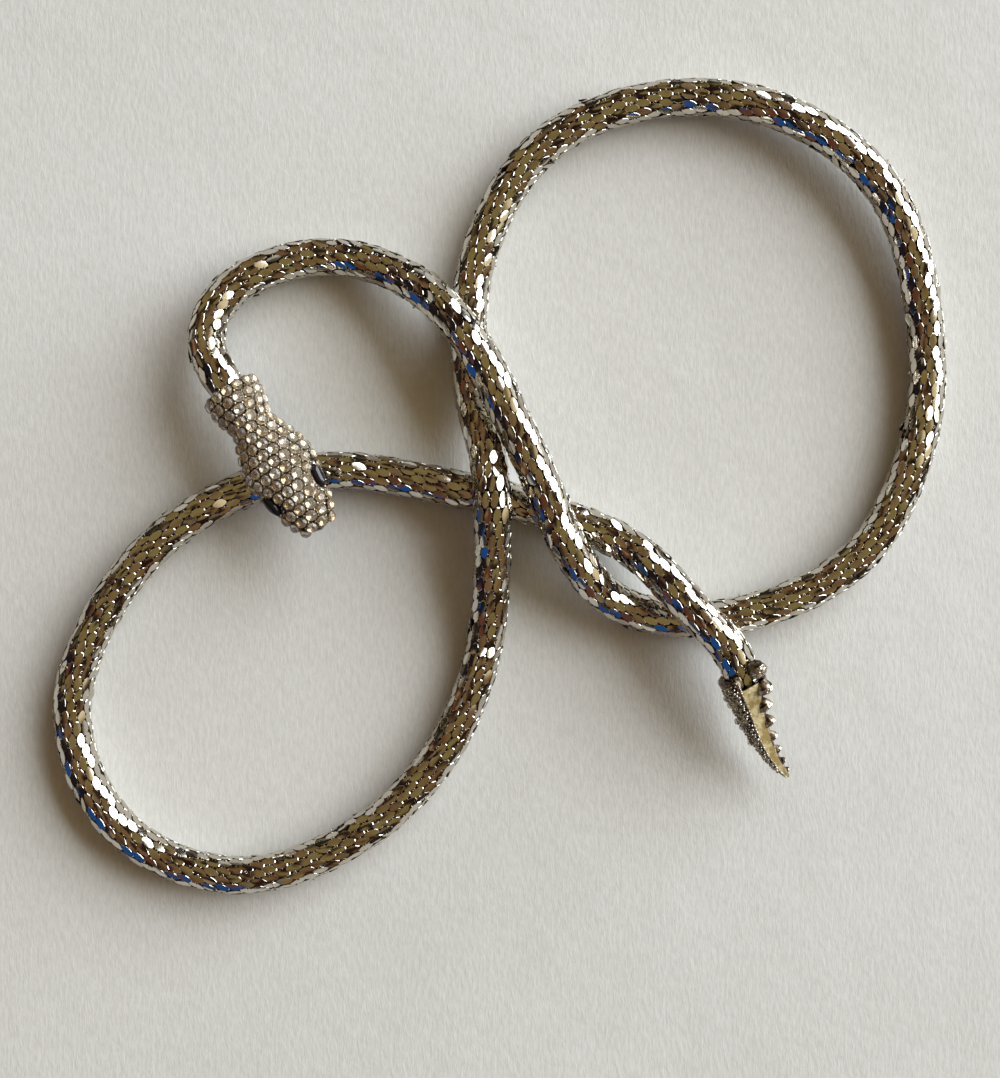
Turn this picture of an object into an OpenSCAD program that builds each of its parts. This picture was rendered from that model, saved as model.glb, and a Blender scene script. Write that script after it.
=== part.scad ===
// Snake wrap necklace: a soft tube of woven metal scales, about 0.95 m long, with a head covered in
// clear stones at one end and a pointed tail set with stones at the other.
// It lies on a flat surface in two open loops. Millimetres, +Z up, and the origin is on the surface,
// at the middle of the box that the necklace fills.

/* [Tube] */
// Diameter over the scales
body_d = 9.4; // [9:0.1:9.6]
// Air between two strands where one lies on the other
strand_gap = 0.6; // [0.4:0.1:1]
// Sides of the tube
body_sides = 12; // [8:12]
// Rings for each step of the route
rings_per_step = 2; // [1:2]

/* [Head] */
// Height of the collar's centre above the surface
head_z = 12.4; // [12:0.1:14]
// Heading in plan, counted from +X
head_turn = -56; // [-58:-53]
// How far the snout points up
head_pitch = 4; // [3:6]
// Depth of the socket that holds the tube
head_socket = 5; // [4:0.5:6]
// Diameter of the clear stones
stone_d = 2.4; // [2.2:0.1:2.4]
// Distance from stone to stone round the head
stone_pitch = 2.85; // [2.8:0.05:3.2]
// Distance from row to row along the head
row_pitch = 2.65; // [2.6:0.05:2.8]
// Height of a stone from its back to its table
stone_h = 1; // [0.8:0.1:1.2]

/* [Eyes] */
// Length of each black eye
eye_l = 6.2; // [5:0.2:7]
// Width of each black eye
eye_w = 3.2; // [2.6:0.2:3.4]
// Height of each black eye
eye_h = 1.5; // [1:0.1:1.8]
// Distance from the collar's rim to the middle of the eye
eye_along = 30; // [28:0.5:32]
// Angle of the eye above the widest line of the head
eye_angle = 25; // [20:30]

/* [Tail] */
// Height of the tail collar's centre above the surface
tail_z = 13.6; // [13:0.1:15]
// Heading in plan, counted from +X
tail_turn = -65; // [-66:-62]
// How far the tip points down
tail_pitch = 12; // [8:14]
// How far the tail is rolled about its own axis
tail_roll = -15; // [-20:0]
// Depth of the socket that holds the tube
tail_socket = 3.6; // [3.4:0.1:4]
// Cups along the outer edge
tail_cups = 8; // [6:8]

/* [Fits] */
// Air round the tube in each socket
socket_clear = 0.1; // [0.05:0.05:0.2]
// Air between a stone's back and the metal that carries it
seat_gap = 0.2; // [0.18:0.01:0.22]

/* [Hidden] */
body_r = body_d / 2;
bore_r = body_r + socket_clear;
// Air at the tube's ends, and how far a cutter reaches past what it cuts
end_gap = 0.3;
overcut = 2;
head_xy = [-66.5, 36.5];
tail_xy = [59, -32.5];

// The route of the tube from the head to the tail. Columns: x, y, and how high the tube lies, where 0 is
// on the surface and 1 is on top of another strand.
ROUTE = [
    [-72, 46, 0.6], [-72, 54, 0.42], [-67, 62, 0.22], [-57, 68, 0.06], [-42, 70.5, 0],
    [-28, 67, 0.3], [-15, 58, 0.85], [-5, 45, 1.12], [3, 29, 1.18], [10, 14, 1.12],
    [17, -2, 0.9], [28, -15, 0.2], [45, -20, 0], [67, -17, 0], [90, -4, 0],
    [104, 22, 0], [106, 55, 0.05], [94, 89, 0.27], [70, 106.5, 0.15], [40, 110, 0],
    [12, 99, 0], [-4, 75, 0], [-8, 48, 0], [-6, 32, 0.22], [-3, 20, 0.74],
    [-2, 11, 1.05], [-2, -6, 0.5], [-4, -27, 0], [-15, -54, 0], [-37, -75, 0],
    [-67, -84, 0], [-95, -72, 0], [-107, -44, 0], [-98, -16, 0], [-75, 7, 0],
    [-46, 17, 0], [-15, 13.5, 0], [14, 6, 0], [32, -2, 0.45], [47, -17, 1.03]
];

// Sections of the head under its stones. Columns: distance from the collar's rim, half width, height
// above the axis, depth below it.
HEAD = [
    [0, 6.3, 6.3, 6.3], [5, 6.1, 6.0, 6.0], [10, 4.7, 4.6, 4.4], [13.5, 5.7, 5.0, 4.3],
    [18, 7.4, 5.4, 4.2], [22.5, 8.2, 5.6, 4.1], [26, 7.9, 5.4, 4.0], [30, 7.1, 4.9, 3.8],
    [34.5, 6.2, 4.3, 3.5], [38, 5.0, 3.4, 2.9], [40.2, 3.2, 2.2, 2.0], [41, 1.2, 0.9, 0.8]
];
// Sections of the tail. Columns: distance from the rim, half width, height of the flat back, depth of the
// rounded front, half width of the flat, how far the section is shifted towards the outer edge, and how far
// the flat is shifted on it.
TAIL = [
    [0, 5.9, 5.5, 5.5, 2.8, 0, -1.3], [3.8, 5.6, 5.3, 5.3, 2.8, -0.4, -1],
    [8, 3.75, 4, 4.3, 1.95, -1.85, 0.1], [13, 3.15, 3.1, 3.5, 1.65, -2.25, 0.25],
    [18, 2.5, 2.4, 2.8, 1.3, -2.2, 0], [22, 2, 1.8, 2.2, 1.05, -1.9, 0],
    [25.5, 1.55, 1.3, 1.6, 0.8, -1.15, -0.1], [28.6, 1, 0.8, 0.9, 0.5, -0.3, -0.2],
    [30, 0.5, 0.5, 0.6, 0.3, 0, 0]
];
AT = 0;
SIDE = 1;
TOP = 2;
UNDER = 3;
FLAT = 4;
SHIFT = 5;
FLAT_SHIFT = 6;
section_sides = 24;
section_steps = 3;
bore_sides = 48;
cup_sides = 24;

// Vectors and frames

function unit(v) = v / norm(v);
function axis_of(turn, pitch) = [cos(pitch) * cos(turn), cos(pitch) * sin(turn), sin(pitch)];
head_rim = [head_xy.x, head_xy.y, head_z];
tail_rim = [tail_xy.x, tail_xy.y, tail_z];
head_axis = axis_of(head_turn, head_pitch);
tail_axis = axis_of(tail_turn, -tail_pitch);

// The tube: straight in both sockets, and one smooth curve through the route between them

straight = 4;
head_end = [for (s = [head_socket - end_gap, 0, -straight]) head_rim + s * head_axis];
tail_end = [for (s = [-straight, 0, tail_socket - end_gap]) tail_rim + s * tail_axis];
middle = [for (p = ROUTE) [p.x, p.y, body_r + p.z * (body_d + strand_gap)]];
PATH = concat(head_end, middle, tail_end);
last = len(PATH) - 1;
function chord(i) = PATH[i + 1] - PATH[i];
function heading(i) =
    i == 0 ? unit(chord(0)) :
    i == last ? unit(chord(last - 1)) :
    unit(norm(chord(i)) * unit(chord(i - 1)) + norm(chord(i - 1)) * unit(chord(i)));
function on_path(i, t) = let (reach = norm(chord(i)))
    (2 * t ^ 3 - 3 * t ^ 2 + 1) * PATH[i] + (t ^ 3 - 2 * t ^ 2 + t) * reach * heading(i)
    + (3 * t ^ 2 - 2 * t ^ 3) * PATH[i + 1] + (t ^ 3 - t ^ 2) * reach * heading(i + 1);
function not_below(p) = [p.x, p.y, max(p.z, body_r)];
// The straight ends and the short steps need no ring between their points
long_step = 13;
steps = [for (i = [0 : last - 1])
    i > 1 && i < last - 2 && norm(chord(i)) > long_step ? rings_per_step : 1];
centres = [
    for (i = [0 : last - 1]) for (k = [0 : steps[i] - 1]) not_below(on_path(i, k / steps[i])),
    PATH[last]
];
ring_count = len(centres);
function tangent(i) = unit(centres[min(i + 1, ring_count - 1)] - centres[max(i - 1, 0)]);
function ring(i) = let (t = tangent(i), side = unit(cross([0, 0, 1], t)), up = cross(t, side))
    [for (k = [0 : body_sides - 1]) let (a = 90 + 360 * k / body_sides)
        centres[i] + body_r * (cos(a) * side + sin(a) * up)];
rings = [for (i = [0 : ring_count - 1]) ring(i)];

// The middle of the necklace's box in plan, which becomes the origin
tube_x = [for (r = rings) for (p = r) p.x];
tube_y = [for (r = rings) for (p = r) p.y];
origin = [(min(tube_x) + max(tube_x)) / 2, (min(tube_y) + max(tube_y)) / 2, 0];

// A closed skin over rings of points

module skin(loops) {
    n = len(loops[0]);
    m = len(loops);
    sides = [for (i = [0 : m - 2]) for (k = [0 : n - 1]) let (j = (k + 1) % n)
        each [[i * n + k, (i + 1) * n + k, (i + 1) * n + j], [i * n + k, (i + 1) * n + j, i * n + j]]];
    caps = [[for (k = [0 : n - 1]) k], [for (k = [n - 1 : -1 : 0]) (m - 1) * n + k]];
    polyhedron([for (loop = loops) each loop], concat(sides, caps), convexity = 8);
}

// A section of a table, anywhere between its rows

function section(table, q) = let (i = min(floor(q), len(table) - 2), t = q - i,
    a = table[max(i - 1, 0)], b = table[i], c = table[i + 1], d = table[min(i + 2, len(table) - 1)])
    (2 * b + t * (c - a) + t ^ 2 * (2 * a - 5 * b + 4 * c - d) + t ^ 3 * (3 * b - a - 3 * c + d)) / 2;
function row_at(table, along) = lookup(along, [for (i = [0 : len(table) - 1]) [table[i][AT], i]]);
stations = function (table) [for (k = [0 : section_steps * (len(table) - 1)]) k / section_steps];

// A point on the head or the tail. The angle a is 0 at the left side, 90 on top and -90 underneath.

head_point = function (q, a) let (s = section(HEAD, q))
    [s[AT], s[SIDE] * cos(a), (sin(a) > 0 ? s[TOP] : s[UNDER]) * sin(a)];
// The tail's back is flat, and rounds off over flat_from degrees on each side
flat_from = 60;
tail_point = function (q, a) let (s = section(TAIL, q), m = a > 90 ? 180 - a : a, hand = a > 90 ? -1 : 1)
    a < 0 || a > 180 ? [s[AT], s[SHIFT] + s[SIDE] * cos(a), s[UNDER] * sin(a)] :
    m < flat_from ? let (b = 90 * m / flat_from)
        [s[AT], s[SHIFT] + s[FLAT_SHIFT] * sin(b) + hand * (s[FLAT] + (s[SIDE] - s[FLAT]) * cos(b)),
            s[TOP] * sin(b)] :
    [s[AT], s[SHIFT] + s[FLAT_SHIFT] + hand * s[FLAT] * (90 - m) / (90 - flat_from), s[TOP]];
function loops_of(point, table) =
    [for (q = stations(table)) [for (k = [0 : section_sides - 1]) point(q, 360 * k / section_sides)]];

// The frame of a seat on such a surface, as a matrix whose third axis points out

function seat(point, q, a, lift) = let (dq = 0.02, da = 1,
    out = unit(cross(point(q + dq, a) - point(q - dq, a), point(q, a - da) - point(q, a + da))),
    forward = unit(cross(out, cross([1, 0, 0], out))), side = cross(out, forward),
    p = point(q, a) + lift * out)
    [[forward.x, side.x, out.x, p.x], [forward.y, side.y, out.y, p.y], [forward.z, side.z, out.z, p.z]];

// A round stone: flat back, short girdle, eight crown facets and a table
module stone(d, h) {
    facets = 8;
    girdle_h = 0.3 * h;
    table_r = 0.29 * d;
    layers = [[d / 2, 0], [d / 2, girdle_h], [table_r, h]];
    skin([for (w = layers) [for (k = [0 : facets - 1]) let (a = 360 * k / facets)
        [w[0] * cos(a), w[0] * sin(a), w[1]]]]);
}

// Rows of seats. Each row is as far round the surface as reach allows, and every second row is shifted by
// half a pitch. Angles are counted from the middle line at the angle top.

function run_along(point, a, from, to) = let (n = 80, q = [for (k = [0 : n]) from + (to - from) * k / n])
    [for (k = 0, s = 0; k <= n; s = s + (k < n ? norm(point(q[k + 1], a) - point(q[k], a)) : 0), k = k + 1)
        [s, q[k]]];
function run_round(point, q, top, reach) = let (step = 5, n = reach / step,
    gap = [for (k = [0 : n]) norm(point(q, top - step * (k + 1)) - point(q, top - step * k))])
    [for (k = 0, s = 0; k <= n; s = s + gap[k], k = k + 1) [s, step * k]];
function seats_in_row(point, q, top, reach, pitch, shift) = let (round = run_round(point, q, top, reach),
    far = round[len(round) - 1][0], n = floor(far / pitch) + 1)
    [for (j = [-n : n]) let (s = (j + shift) * pitch) if (abs(s) <= far)
        [q, top - sign(s) * lookup(abs(s), round)]];
function seats(point, line, from, to, top, reach, pitch, rows) = let (
    run = run_along(point, line, from, to), total = run[len(run) - 1][0], count = floor(total / rows))
    [for (i = [0 : count]) let (q = lookup(i * rows, run))
        each seats_in_row(point, q, top, reach, pitch, i % 2 == 0 ? 0 : 0.5)];

// The head

module place_head() {
    translate(head_rim - origin) rotate([0, -head_pitch, head_turn]) children();
}

eye_row = row_at(HEAD, eye_along);
eye_spot = [for (side = [1, -1]) head_point(eye_row, side > 0 ? eye_angle : 180 - eye_angle)];
eye_margin = stone_d / 2 - 0.1;
function beside_eye(p) = min([for (e = eye_spot)
    let (along = (p.x - e.x) / (eye_l / 2 + eye_margin),
        across = norm([p.y - e.y, p.z - e.z]) / (eye_w / 2 + eye_margin)) along ^ 2 + across ^ 2]) < 1;
// Rows of stones from just behind the rim to the snout, spaced along a line half way up the side, each
// reaching past the widest line to the under side
rim_margin = 1.5;
row_line = 45;
crest = 90;
stone_reach = 115;
first_row = row_at(HEAD, rim_margin);
last_row = len(HEAD) - 1.1;
head_seats = [
    for (s = seats(head_point, row_line, first_row, last_row, crest, stone_reach, stone_pitch, row_pitch))
        if (!beside_eye(head_point(s[0], s[1]))) s];

module head_casting() {
    color([0.56, 0.52, 0.47]) place_head() difference() {
        skin(loops_of(head_point, HEAD));
        translate([-overcut, 0, 0]) rotate([0, 90, 0])
            cylinder(r = bore_r, h = head_socket + overcut, $fn = bore_sides);
    }
}

module head_stones() {
    color([0.85, 0.81, 0.74]) place_head()
        for (s = head_seats) multmatrix(seat(head_point, s[0], s[1], seat_gap)) stone(stone_d, stone_h);
}

module eye(side) {
    n = 8;
    corner_power = 0.8;
    outline = [for (edge = [1, -1]) for (k = [0 : n - 1]) let (x = edge * (1 - 2 * k / n))
        [x, edge * (1 - x ^ 2) ^ corner_power]];
    // Size of the outline against height, from the base to the table
    layers = [[1, 0], [1, 0.3], [0.55, 1]];
    color([0.03, 0.03, 0.035]) place_head()
        multmatrix(seat(head_point, eye_row, side > 0 ? eye_angle : 180 - eye_angle, seat_gap))
            skin([for (w = layers) [for (p = outline)
                [w[0] * eye_l / 2 * p.x, w[0] * eye_w / 2 * p.y, w[1] * eye_h]]]);
}
module eye_left() { eye(1); }
module eye_right() { eye(-1); }

// The tail

module place_tail() {
    translate(tail_rim - origin) rotate([tail_roll, tail_pitch, tail_turn]) children();
}

// The cups stand along the outer edge, one behind the other, and lean towards the tip. Each is a cone with
// a pocket bored in it for its stone.
cup_first = 0.6;
cup_last = 28.4;
// Where the first and the last cup stand round the casting: 0 is its outer edge and 90 its back
cup_angles = [54, 4];
cup_lean = 60;
cup_r = 2.4;
cup_back_r = 1.2;
cup_depth = 3.2;
// How far the middle of the first and the last cup's rim stands off the casting
cup_rises = [0.5, 0.3];
cup_lip = 0.3;
cup_stone_d = 3.9;
pocket_clear = 0.15;
pocket_l = 2.4;
// The cups stand closer together towards the tip, and are smaller there
cup_crowding = 1.2;
last_cup_size = 0.28;
function cup_part(i) = i / (tail_cups - 1);
function cup_at(i) = cup_first + (cup_last - cup_first) * (1 - (1 - cup_part(i)) ^ cup_crowding);
function cup_angle(i) = cup_angles[0] + (cup_angles[1] - cup_angles[0]) * cup_part(i);
function cup_rise(i) = cup_rises[0] + (cup_rises[1] - cup_rises[0]) * cup_part(i);
function cup_size(i) = 1 - (1 - last_cup_size) * cup_part(i);
module at_cup(i) {
    multmatrix(seat(tail_point, row_at(TAIL, cup_at(i)), cup_angle(i), cup_rise(i)))
        rotate([0, cup_lean, 0]) scale(cup_size(i)) children();
}
module cup() {
    translate([0, 0, -cup_depth])
        cylinder(r1 = cup_back_r, r2 = cup_r, h = cup_depth + cup_lip, $fn = cup_sides);
}
module pocket() {
    cylinder(d = cup_stone_d + 2 * pocket_clear, h = pocket_l, $fn = cup_sides);
}

// The collar is open on its back, so that the end of the tube shows there
notch_l = 2.8;
notch_w = 6.9;
notch_y = -0.55;
notch_z = 1.5;
// The tube's way is kept clear as far behind the rim as the first cup reaches
bore_back = 6;

// Small stones on the rounded front, which faces down here, from the rim to two thirds of the length
front = -90;
front_first = row_at(TAIL, 1.6);
front_last = row_at(TAIL, 20);
front_reach = 55;
front_d = 1.8;
front_h = 0.8;
front_pitch = 2.15;
front_seats = seats(tail_point, front, front_first, front_last, front, front_reach, front_pitch, front_pitch);

module tail_casting() {
    color([0.66, 0.6, 0.44]) place_tail() difference() {
        union() {
            difference() {
                skin(loops_of(tail_point, TAIL));
                translate([-overcut, notch_y - notch_w / 2, notch_z])
                    cube([notch_l + overcut, notch_w, body_r + overcut]);
            }
            for (i = [0 : tail_cups - 1]) at_cup(i) cup();
        }
        translate([-bore_back, 0, 0]) rotate([0, 90, 0])
            cylinder(r = bore_r, h = tail_socket + bore_back, $fn = bore_sides);
        for (i = [0 : tail_cups - 1]) at_cup(i) pocket();
    }
}

module tail_stones() {
    color([0.8, 0.76, 0.68]) place_tail() {
        for (s = front_seats) multmatrix(seat(tail_point, s[0], s[1], seat_gap)) stone(front_d, front_h);
        for (i = [0 : tail_cups - 1]) at_cup(i) translate([0, 0, pocket_clear]) stone(cup_stone_d, stone_h);
    }
}

module mesh_body() {
    color([0.6, 0.57, 0.48]) translate(-origin) skin(rings);
}

mesh_body();
head_casting();
head_stones();
eye_left();
eye_right();
tail_casting();
tail_stones();
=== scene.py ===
# Snake wrap necklace: a tube of mirror-bright woven scales, a head paved with champagne crystals
# and a worn, flat-backed tail, lying in two loops on a pale surface. Lengths here are millimetres
# until a mesh is made.
import math

import bpy
import numpy as np
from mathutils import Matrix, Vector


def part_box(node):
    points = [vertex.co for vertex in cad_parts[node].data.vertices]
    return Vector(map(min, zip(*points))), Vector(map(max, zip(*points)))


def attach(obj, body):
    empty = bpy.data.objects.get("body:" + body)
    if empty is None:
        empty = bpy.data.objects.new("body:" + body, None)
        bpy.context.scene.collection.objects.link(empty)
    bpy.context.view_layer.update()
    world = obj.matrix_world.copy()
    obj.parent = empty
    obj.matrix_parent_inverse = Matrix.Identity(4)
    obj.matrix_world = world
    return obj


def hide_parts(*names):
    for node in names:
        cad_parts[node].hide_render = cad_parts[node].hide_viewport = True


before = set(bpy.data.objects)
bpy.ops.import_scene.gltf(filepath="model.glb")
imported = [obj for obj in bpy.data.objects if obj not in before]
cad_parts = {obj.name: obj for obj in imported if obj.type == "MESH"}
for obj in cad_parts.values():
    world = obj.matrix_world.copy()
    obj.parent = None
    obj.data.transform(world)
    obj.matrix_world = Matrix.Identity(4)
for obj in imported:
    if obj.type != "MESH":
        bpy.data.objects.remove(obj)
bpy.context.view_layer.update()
MM = 0.001
BODY = "root"
random = np.random.default_rng(11)

# The tube's route, as the solid tube has it: x, y, and the height in tubes' thicknesses
TUBE_R = 4.7
STRAND_STEP = 10.0
ROUTE = [
    (-72, 46, 0.6), (-72, 54, 0.42), (-67, 62, 0.22), (-57, 68, 0.06), (-42, 70.5, 0),
    (-28, 67, 0.3), (-15, 58, 0.85), (-5, 45, 1.12), (3, 29, 1.18), (10, 14, 1.12),
    (17, -2, 0.9), (28, -15, 0.2), (45, -20, 0), (67, -17, 0), (90, -4, 0),
    (104, 22, 0), (106, 55, 0.05), (94, 89, 0.27), (70, 106.5, 0.15), (40, 110, 0),
    (12, 99, 0), (-4, 75, 0), (-8, 48, 0), (-6, 32, 0.22), (-3, 20, 0.74),
    (-2, 11, 1.05), (-2, -6, 0.5), (-4, -27, 0), (-15, -54, 0), (-37, -75, 0),
    (-67, -84, 0), (-95, -72, 0), (-107, -44, 0), (-98, -16, 0), (-75, 7, 0),
    (-46, 17, 0), (-15, 13.5, 0), (14, 6, 0), (32, -2, 0.45), (47, -17, 1.03),
]
HEAD_RIM, HEAD_TURN, HEAD_PITCH, HEAD_SOCKET = (-66.5, 36.5, 12.4), -56, 4, 5
TAIL_RIM, TAIL_TURN, TAIL_PITCH, TAIL_ROLL, TAIL_SOCKET = (59, -32.5, 13.6), -65, 12, -15, 3.6
END_GAP, STRAIGHT = 0.3, 4

# Sections of the head and the tail: along, half width, top, under. The tail's go on with the half
# width of its flat back, its shift to one side and the flat's own shift
HEAD = np.array([
    (0, 6.3, 6.3, 6.3), (5, 6.1, 6.0, 6.0), (10, 4.7, 4.6, 4.4), (13.5, 5.7, 5.0, 4.3),
    (18, 7.4, 5.4, 4.2), (22.5, 8.2, 5.6, 4.1), (26, 7.9, 5.4, 4.0), (30, 7.1, 4.9, 3.8),
    (34.5, 6.2, 4.3, 3.5), (38, 5.0, 3.4, 2.9), (40.2, 3.2, 2.2, 2.0), (41, 1.2, 0.9, 0.8),
])
TAIL = np.array([
    (0, 5.9, 5.5, 5.5, 2.8, 0, -1.3), (3.8, 5.6, 5.3, 5.3, 2.8, -0.4, -1),
    (8, 3.75, 4, 4.3, 1.95, -1.85, 0.1), (13, 3.15, 3.1, 3.5, 1.65, -2.25, 0.25),
    (18, 2.5, 2.4, 2.8, 1.3, -2.2, 0), (22, 2, 1.8, 2.2, 1.05, -1.9, 0),
    (25.5, 1.55, 1.3, 1.6, 0.8, -1.15, -0.1), (28.6, 1, 0.8, 0.9, 0.5, -0.3, -0.2),
    (30, 0.5, 0.5, 0.6, 0.3, 0, 0),
])
AT, SIDE, TOP, UNDER, FLAT, SHIFT, FLAT_SHIFT = range(7)

# The camera, straight above the table as in the photograph
VIEW_CENTRE = (0.1, -13.2)
VIEW_WIDTH = 253.0
CAMERA_HEIGHT = 430.0


def make_camera():
    data = bpy.data.cameras.new("camera")
    data.sensor_fit = "HORIZONTAL"
    data.lens = data.sensor_width * CAMERA_HEIGHT / VIEW_WIDTH
    camera = bpy.data.objects.new("camera", data)
    camera.location = (VIEW_CENTRE[0] * MM, VIEW_CENTRE[1] * MM, CAMERA_HEIGHT * MM)
    bpy.context.scene.collection.objects.link(camera)
    bpy.context.scene.camera = camera


# Shader sums


class Wire:
    """An output socket in a node tree. A sum on it adds the Math nodes."""

    def __init__(self, tree, socket=None):
        self.tree, self.socket = tree, socket

    def node(self, kind, settings=None, inputs=None, output=0):
        """Adds a node: its settings first, then the values or wires of its sockets."""
        made = self.tree.nodes.new(kind)
        for name, value in (settings or {}).items():
            setattr(made, name, value)
        for name, value in (inputs or {}).items():
            if isinstance(value, Wire):
                self.tree.links.new(value.socket, made.inputs[name])
            else:
                made.inputs[name].default_value = value
        return Wire(self.tree, made.outputs[output]) if made.outputs else None

    def math(self, operation, *values):
        return self.node("ShaderNodeMath", {"operation": operation}, dict(enumerate(values)))

    def __add__(self, other):
        return self.math("ADD", self, other)

    def __sub__(self, other):
        return self.math("SUBTRACT", self, other)

    def __rsub__(self, other):
        return self.math("SUBTRACT", other, self)

    def __mul__(self, other):
        return self.math("MULTIPLY", self, other)

    __radd__ = __add__
    __rmul__ = __mul__

    def ramp(self, low, high, at_low=0.0, at_high=1.0):
        """A smooth step from at_low to at_high as the value goes from low to high."""
        ends = {"From Min": low, "From Max": high, "To Min": at_low, "To Max": at_high}
        smooth = {"interpolation_type": "SMOOTHSTEP"}
        return self.node("ShaderNodeMapRange", smooth, {"Value": self, **ends})

    def between(self, first, second):
        """The colour that goes from first to second as this mask goes from 0 to 1."""
        ends = {6: rgba(first), 7: rgba(second)}
        return self.node("ShaderNodeMix", {"data_type": "RGBA"}, {0: self, **ends}, 2)

    def stretched(self, *scale):
        return self.node("ShaderNodeVectorMath", {"operation": "MULTIPLY"}, {0: self, 1: scale})

    def along(self, direction):
        """The cosine between this direction and another."""
        return self.node("ShaderNodeVectorMath", {"operation": "DOT_PRODUCT"}, {0: self, 1: direction}, 1)

    def noise(self, scale, detail=2.0, rough=0.5):
        sockets = {"Vector": self, "Scale": scale, "Detail": detail, "Roughness": rough}
        return self.node("ShaderNodeTexNoise", {}, sockets)

    def cells(self, scale):
        return self.node("ShaderNodeTexVoronoi", {}, {"Vector": self, "Scale": scale})


def rgba(colour):
    return colour if isinstance(colour, Wire) else (*colour, 1)


def principled(name, finish):
    """A material whose sockets are set by finish, a function of the place on the object and the tone."""
    material = bpy.data.materials.new(name)
    material.use_nodes = True
    tree = material.node_tree
    tree.nodes.clear()
    start = Wire(tree)
    place = start.node("ShaderNodeTexCoord", output=3)
    tone = start.node("ShaderNodeAttribute", {"attribute_name": "tone"}, output=2)
    sockets = finish(place, tone)
    sockets = {key: rgba(value) if key == "Base Color" else value for key, value in sockets.items()}
    shader = start.node("ShaderNodeBsdfPrincipled", {}, sockets)
    start.node("ShaderNodeOutputMaterial", {}, {"Surface": shader})
    return material


def bumped(height, depth_mm, strength=1.0):
    sockets = {"Height": height, "Distance": depth_mm * MM, "Strength": strength}
    return height.node("ShaderNodeBump", {}, sockets)


# Materials. Each takes the place on the object and the tone of the one scale, stone or bead, from 0 to 1

PER_MM = 1000.0


def silver_scale(place, tone):
    polished, yellowed = (0.62, 0.585, 0.52), (0.46, 0.38, 0.27)
    smear = place.noise(0.35 * PER_MM, 3)
    tarnish = smear.ramp(0.55, 0.75) * 0.6 + tone.ramp(0.75, 1.0) * 0.25
    hairlines = place.stretched(1, 1, 0.2).noise(9 * PER_MM, 2)
    return {
        "Base Color": tarnish.between(polished, yellowed),
        "Metallic": 1.0,
        "Roughness": smear * 0.06 + tone * 0.05 + 0.03,
        "Normal": bumped(hairlines, 0.004, 0.35),
    }


# Painted shade: near-black metal for the plates' sides and for the sheet inside the tube, standing for the
# shade that falls between the scales. Each small cell is paler in its middle and darker at its edges
def painted_shade_liner(place, tone):
    paler_shade, black = (0.06, 0.05, 0.04), (0.012, 0.01, 0.009)
    links = place.cells(1.3 * PER_MM)
    return {
        "Base Color": links.ramp(0.1, 0.6).between(paler_shade, black),
        "Metallic": 0.6,
        "Roughness": links * 0.2 + 0.45,
        "Normal": bumped(links, 0.25),
    }


def bright_wire(place, tone):
    bright, brown = (0.7, 0.66, 0.57), (0.3, 0.25, 0.18)
    wear = place.noise(0.8 * PER_MM, 2)
    return {
        "Base Color": wear.ramp(0.4, 0.7).between(bright, brown),
        "Metallic": 1.0,
        "Roughness": wear * 0.2 + 0.16,
        "Normal": bumped(place.noise(1.2 * PER_MM, 2), 0.6, 0.8),
    }


def dark_setting(place, tone):
    dark, worn = (0.05, 0.035, 0.025), (0.42, 0.35, 0.26)
    grime = place.noise(0.6 * PER_MM, 4, 0.6)
    return {
        "Base Color": grime.ramp(0.42, 0.62).between(dark, worn),
        "Metallic": 1.0,
        "Roughness": grime * 0.35 + 0.22,
        "Normal": bumped(place.noise(3 * PER_MM, 3), 0.06, 0.6),
    }


def crystal(place, tone):
    clear, champagne = (0.97, 0.915, 0.82), (0.88, 0.785, 0.62)
    return {
        "Base Color": tone.between(clear, champagne),
        "Roughness": 0.0,
        "IOR": 1.56,
        "Transmission Weight": 0.92,
    }


def foil(place, tone):
    pale, deep = (0.9, 0.845, 0.75), (0.66, 0.55, 0.39)
    cloud = place.noise(1.2 * PER_MM, 2)
    return {
        "Base Color": (tone * 0.7 + cloud * 0.5).ramp(0.2, 0.9).between(pale, deep),
        "Metallic": 0.8,
        "Roughness": cloud * 0.15 + 0.1,
    }


def black_glass(place, tone):
    black, dull = (0.004, 0.004, 0.005), (0.02, 0.02, 0.024)
    film = place.noise(0.5 * PER_MM, 3)
    return {
        "Base Color": film.between(black, dull),
        "Roughness": film * 0.05 + 0.02,
    }


def cream_plate(place, tone):
    cream, ochre, bare = (0.56, 0.48, 0.27), (0.33, 0.24, 0.08), (0.2, 0.13, 0.06)
    strokes = place.noise(0.42 * PER_MM, 5, 0.65)
    pits = place.noise(1.6 * PER_MM, 3)
    worn = strokes.ramp(0.42, 0.58).between(cream, ochre)
    return {
        "Base Color": pits.ramp(0.6, 0.75).between(worn, bare),
        "Metallic": strokes.ramp(0.3, 0.7, 0.15, 0.45),
        "Roughness": pits * 0.25 + 0.4,
        "Normal": bumped(strokes + pits * 0.4, 0.25, 0.7),
    }


def paper_table(place, tone):
    """Plain pale paper with a grain that runs up the picture, soft dents and a faint change of tone."""
    dull, pale = (0.675, 0.672, 0.645), (0.775, 0.775, 0.757)
    grain = place.stretched(1, 0.3, 1).noise(1.1 * PER_MM, 4, 0.65)
    dents = place.noise(0.05 * PER_MM, 3)
    patches = place.noise(0.012 * PER_MM, 3, 0.6)
    shade = (grain * 0.7 + patches * 0.3).ramp(0.3, 0.7)
    return {
        "Base Color": shade.between(dull, pale),
        "Roughness": 0.85,
        "Normal": bumped(grain * 0.35 + dents, 0.5, 0.6),
    }


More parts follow.
